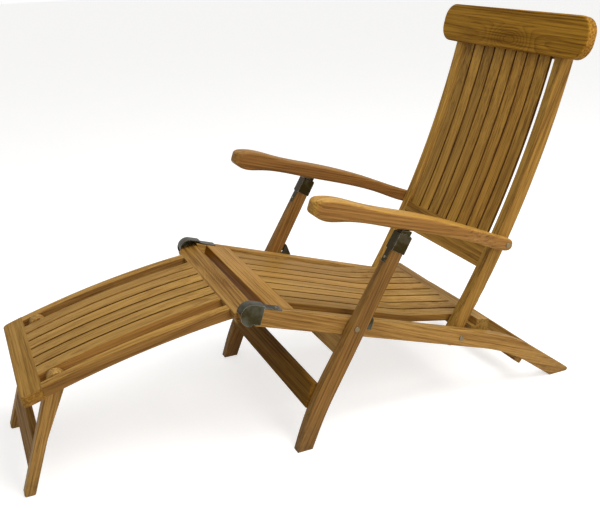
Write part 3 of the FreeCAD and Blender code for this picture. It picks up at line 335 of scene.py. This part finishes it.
def add_bump(tree, height, shader, strength, distance):
    bump = tree.nodes.new("ShaderNodeBump")
    bump.inputs["Strength"].default_value = strength
    bump.inputs["Distance"].default_value = distance
    tree.links.new(height, bump.inputs["Height"])
    tree.links.new(bump.outputs["Normal"], shader.inputs["Normal"])


def opaque(colour):
    return tuple(colour) + (1.0,)


def shade(colour, factor):
    return opaque(min(1.0, c * f) for c, f in zip(colour, factor))


def middle_of(node):
    low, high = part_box(node)
    return (Vector(low) + Vector(high)) / 2


def on_board(node, across, up, angle):
    """Point on a board's middle plane, so far across the chair and up the board's own slope."""
    slope = math.radians(angle)
    return middle_of(node) + Vector((across, up * math.cos(slope), up * math.sin(slope)))


def grain_turn(angle):
    """Rotation that lays a board's length along Y."""
    if angle is ACROSS:
        return Matrix.Rotation(math.radians(90), 3, "Z")
    return Matrix.Rotation(math.radians(-angle), 3, "X")


def teak(node, angle, tone, side=PLAIN_SIDE, front=PLAIN_FRONT, rings=0.55, streaks=0.85,
         pith=FAR_PITH, vary=0.10, gloss=0.11, dirt=0.0, knot=None, knot_height=0.0):
    """Oiled teak for one board, with its own pith, lean of grain and tone."""
    name = "Teak " + node
    chance = random.Random(name)
    material, tree, shader, where = fresh_material(name)
    middle = middle_of(node)
    light, dark = tone
    tilt = Matrix.Rotation(math.radians(chance.uniform(-GRAIN_LEAN, GRAIN_LEAN)), 3, "X")
    tilt = tilt @ Matrix.Rotation(math.radians(chance.uniform(-GRAIN_LEAN, GRAIN_LEAN)), 3, "Z")
    turn = tilt @ grain_turn(angle)
    around = chance.uniform(0, math.tau)
    far = chance.uniform(*pith)
    offset = Vector((far * math.cos(around), 0.0, far * math.sin(around)))
    bright = 1 + chance.uniform(-vary, vary)
    warm = chance.uniform(-0.25, 0.25) * vary
    factor = (bright * (1 + warm), bright, bright * (1 - 2 * warm))

    mapping = tree.nodes.new("ShaderNodeMapping")
    mapping.inputs["Rotation"].default_value = turn.to_euler("XYZ")
    mapping.inputs["Location"].default_value = offset - turn @ middle
    tree.links.new(where, mapping.inputs["Vector"])

    figure = add_group(tree, TEAK_FIGURE, {
        "Seed": chance.uniform(0, 50),
        "Light wood": shade(light, factor),
        "Dark wood": shade(dark, factor),
        "Ring spacing": RING_SPACING * chance.uniform(0.85, 1.2),
        "Ring strength": rings,
        "Streaks": streaks,
    })
    tree.links.new(mapping.outputs[0], figure.inputs["Place"])
    if knot is not None:
        figure.inputs["Knot place"].default_value = turn @ (knot - middle) + offset
        figure.inputs["Knot height"].default_value = knot_height

    faces = add_group(tree, SHADED_FACES, {
        "Side tint": opaque(side),
        "Front tint": opaque(front),
        "Low dirt": dirt,
    })
    tree.links.new(figure.outputs["Colour"], faces.inputs["Colour"])
    tree.links.new(where, faces.inputs["Place"])

    tree.links.new(faces.outputs["Colour"], shader.inputs["Base Color"])
    tree.links.new(figure.outputs["Roughness"], shader.inputs["Roughness"])
    shader.inputs["Specular IOR Level"].default_value = gloss
    add_bump(tree, figure.outputs["Height"], shader, *WOOD_RELIEF)
    return material


def steel(name, bare, stain, stained):
    """Plate or bolt steel with its own colours and amount of stain."""
    material, tree, shader, where = fresh_material(name)
    wear = add_group(tree, STEEL_WEAR, {
        "Bare steel": opaque(bare),
        "Stain": opaque(stain),
        "Stained": stained,
    })
    tree.links.new(where, wear.inputs["Place"])
    tree.links.new(wear.outputs["Colour"], shader.inputs["Base Color"])
    tree.links.new(wear.outputs["Roughness"], shader.inputs["Roughness"])
    shader.inputs["Metallic"].default_value = 1.0
    add_bump(tree, wear.outputs["Height"], shader, *STEEL_RELIEF)
    return material


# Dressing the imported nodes

def dress(node, material):
    """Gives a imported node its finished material."""
    mesh = frame["nodes"][node].data
    if not mesh.materials:
        mesh.materials.append(material)
    for index in range(len(mesh.materials)):
        mesh.materials[index] = material


def board(node, angle, tone, **looks):
    dress(node, teak(node, angle, tone, **looks))


def slats(name, count, angle, tone, outer_side, **looks):
    """Dresses a row of slats; the inner ones have painted shade on their sides, and the outermost two
    have a side tint of their own.
    """
    for number in range(1, count + 1):
        side = outer_side if number in (1, count) else SLAT_SIDE_SHADE
        board("%s_%d" % (name, number), angle, tone, side=side, **looks)


for hand in ("left", "right"):
    # The feet darken near the floor with painted shade and dirt
    board("seat_rail_" + hand, RAIL_ANGLE, GOLDEN, dirt=0.5)
    board("front_leg_" + hand, LEG_ANGLE, LEG, dirt=0.6)
    board("rest_rail_" + hand, REST_ANGLE, REST_RAIL, side=REST_RAIL_SIDE)
    board("foot_leg_" + hand, FOOT_ANGLE, GOLDEN, dirt=0.5)
board("back_stile_left", BACK_ANGLE, OLIVE)
board("back_stile_right", BACK_ANGLE, FAR_STILE)
board("arm_left", ARM_ANGLE, ARM, side=NEAR_ARM_SIDE, streaks=0.6)
board("arm_right", ARM_ANGLE, LEG, side=FAR_ARM_SIDE, streaks=0.6)
slats("seat_slat", 8, SEAT_ANGLE, PALE, OUTER_SEAT_SIDE, vary=0.12, streaks=0.6)
slats("back_slat", 8, BACK_ANGLE, OLIVE, SLAT_SIDE_SHADE, vary=0.13, streaks=0.75)
slats("rest_slat", 6, REST_ANGLE, PALE, OUTER_REST_SIDE, streaks=0.6)
board("seat_front_rail", ACROSS, FRONT_RAIL, pith=NEAR_PITH, front=SHADED_FRONT)
board("seat_rear_rail", ACROSS, GOLDEN, side=REAR_RAIL_END)
board("rear_stretcher", ACROSS, GOLDEN)
board("seat_under_board", ACROSS, GOLDEN)
# Both stretchers carry painted shade in their tones
board("leg_stretcher", ACROSS, UNDER_SEAT_SHADED, gloss=0.02)
board("foot_stretcher", ACROSS, FOOTREST_HALF_SHADED, gloss=0.02)
board("rest_end_board", ACROSS, REST_END, pith=NEAR_PITH)
board("rest_inner_board", ACROSS, REST_INNER, pith=KNOT_PITH,
      knot=on_board("rest_inner_board", 0.06, 0.012, INNER_BOARD_ANGLE), knot_height=0.05)
board("back_lower_rail", ACROSS, OLIVE, pith=NEAR_PITH)
board("back_top_rail", ACROSS, OLIVE)
board("headrest", ACROSS, HEAD, pith=KNOT_PITH, vary=0.0, side=HEAD_END, rings=0.8, gloss=0.05,
      knot=on_board("headrest", 0.015, -0.026, HEAD_ANGLE), knot_height=0.06)

plate_steel = steel("Stained plate steel", (0.34, 0.34, 0.30), (0.034, 0.028, 0.011), 0.97)
cap_steel = steel("Cap steel", (0.40, 0.36, 0.27), (0.030, 0.021, 0.006), 1.10)
bolt_steel = steel("Bolt steel", (0.46, 0.39, 0.26), (0.11, 0.08, 0.036), 0.80)
for hand in ("left", "right"):
    dress("knee_bracket_" + hand, plate_steel)
    dress("leg_cap_" + hand, cap_steel)
    dress("arm_rack_" + hand, plate_steel)
dress("leg_stops", plate_steel)
for node in ("bracket_screws", "leg_fixings", "back_fixings", "arm_fixings", "cap_screws",
             "foot_leg_fixings"):
    dress(node, bolt_steel)


# Camera, fitted to the photograph; angles in degrees

KNEE_JOINT = "footrest_hinge"
CAMERA_FROM_KNEE = (1.8448, -0.55114, 0.78333)
YAW = 66.961
PITCH = 20.836
ROLL = -2.002
FOCAL_PIXELS = 817.76
PICTURE_WIDTH = 600
SENSOR = 36.0
FARTHEST = 50


def place_camera():
    joints = frame["record"]["behaviour"]["joints"]
    knee = Vector(next(joint["pos_m"] for joint in joints if joint["name"] == KNEE_JOINT))
    yaw, pitch, roll = (math.radians(a) for a in (YAW, PITCH, ROLL))
    forward = Vector((-math.sin(yaw) * math.cos(pitch), math.cos(yaw) * math.cos(pitch),
                      -math.sin(pitch)))
    level = Vector((math.cos(yaw), math.sin(yaw), 0))
    upward = level.cross(forward)
    right = level * math.cos(roll) + upward * math.sin(roll)
    up = upward * math.cos(roll) - level * math.sin(roll)
    turn = Matrix((right, up, -forward)).transposed()
    data = bpy.data.cameras.new("Camera")
    data.sensor_width = SENSOR
    data.lens = FOCAL_PIXELS / PICTURE_WIDTH * SENSOR
    data.clip_end = FARTHEST
    camera = bpy.data.objects.new("Camera", data)
    bpy.context.scene.collection.objects.link(camera)
    camera.matrix_world = Matrix.Translation(knee + Vector(CAMERA_FROM_KNEE)) @ turn.to_4x4()
    bpy.context.scene.camera = camera


# Floor, world and lamps

FLOOR_SIZE = 40
FLOOR_CELLS = 3.0
FLOOR_DARK = (0.66, 0.65, 0.63, 1)
FLOOR_LIGHT = (0.70, 0.69, 0.67, 1)
FLOOR_GLOW = 0.62
WORLD_LIGHT = 0.40
WORLD_SEEN = 1.0
WHITE = (1, 1, 1, 1)


def seen_directly(tree):
    """1 for what the camera, a gloss or a clear material sees, and 0 for what lights the scene."""
    path = tree.nodes.new("ShaderNodeLightPath")
    b = Bench(tree)
    direct = b.math("MAXIMUM", path.outputs["Is Camera Ray"], path.outputs["Is Glossy Ray"])
    return b.math("MAXIMUM", direct, path.outputs["Is Transmission Ray"])


def lay_floor():
    bpy.ops.mesh.primitive_plane_add(size=FLOOR_SIZE)
    floor = bpy.context.object
    floor.name = "Floor"
    material, tree, shader, where = fresh_material("Pale floor")
    b = Bench(tree)
    mottle = b.noise(where, FLOOR_CELLS, 3.0, 0.5)
    b.wire(b.mix(mottle, FLOOR_DARK, FLOOR_LIGHT), shader.inputs["Base Color"])
    shader.inputs["Roughness"].default_value = 0.9
    shader.inputs["Specular IOR Level"].default_value = 0.1
    shader.inputs["Emission Color"].default_value = WHITE
    b.wire(b.math("MULTIPLY", seen_directly(tree), FLOOR_GLOW), shader.inputs["Emission Strength"])
    floor.data.materials.append(material)


def light_world():
    world = bpy.data.worlds.new("Studio")
    bpy.context.scene.world = world
    world.use_nodes = True
    tree = world.node_tree
    backdrop = tree.nodes["Background"]
    backdrop.inputs["Color"].default_value = WHITE
    b = Bench(tree)
    strength = b.spread(seen_directly(tree), 0.0, 1.0, WORLD_LIGHT, WORLD_SEEN)
    b.wire(strength, backdrop.inputs["Strength"])


def soft_lamp(name, place, target, size, power):
    data = bpy.data.lights.new(name, "AREA")
    data.shape = "SQUARE"
    data.size = size
    data.energy = power
    lamp = bpy.data.objects.new(name, data)
    lamp.location = place
    lamp.rotation_euler = (Vector(target) - Vector(place)).to_track_quat("-Z", "Y").to_euler()
    bpy.context.scene.collection.objects.link(lamp)


place_camera()
lay_floor()
light_world()
soft_lamp("Key lamp", (0.9, 0.9, 3.3), (0, 0, 0.3), size=2.2, power=80)
soft_lamp("Side lamp", (3.2, 0.5, 1.6), (0, 0, 0.4), size=1.8, power=34)

bpy.context.scene.view_settings.view_transform = "Standard"
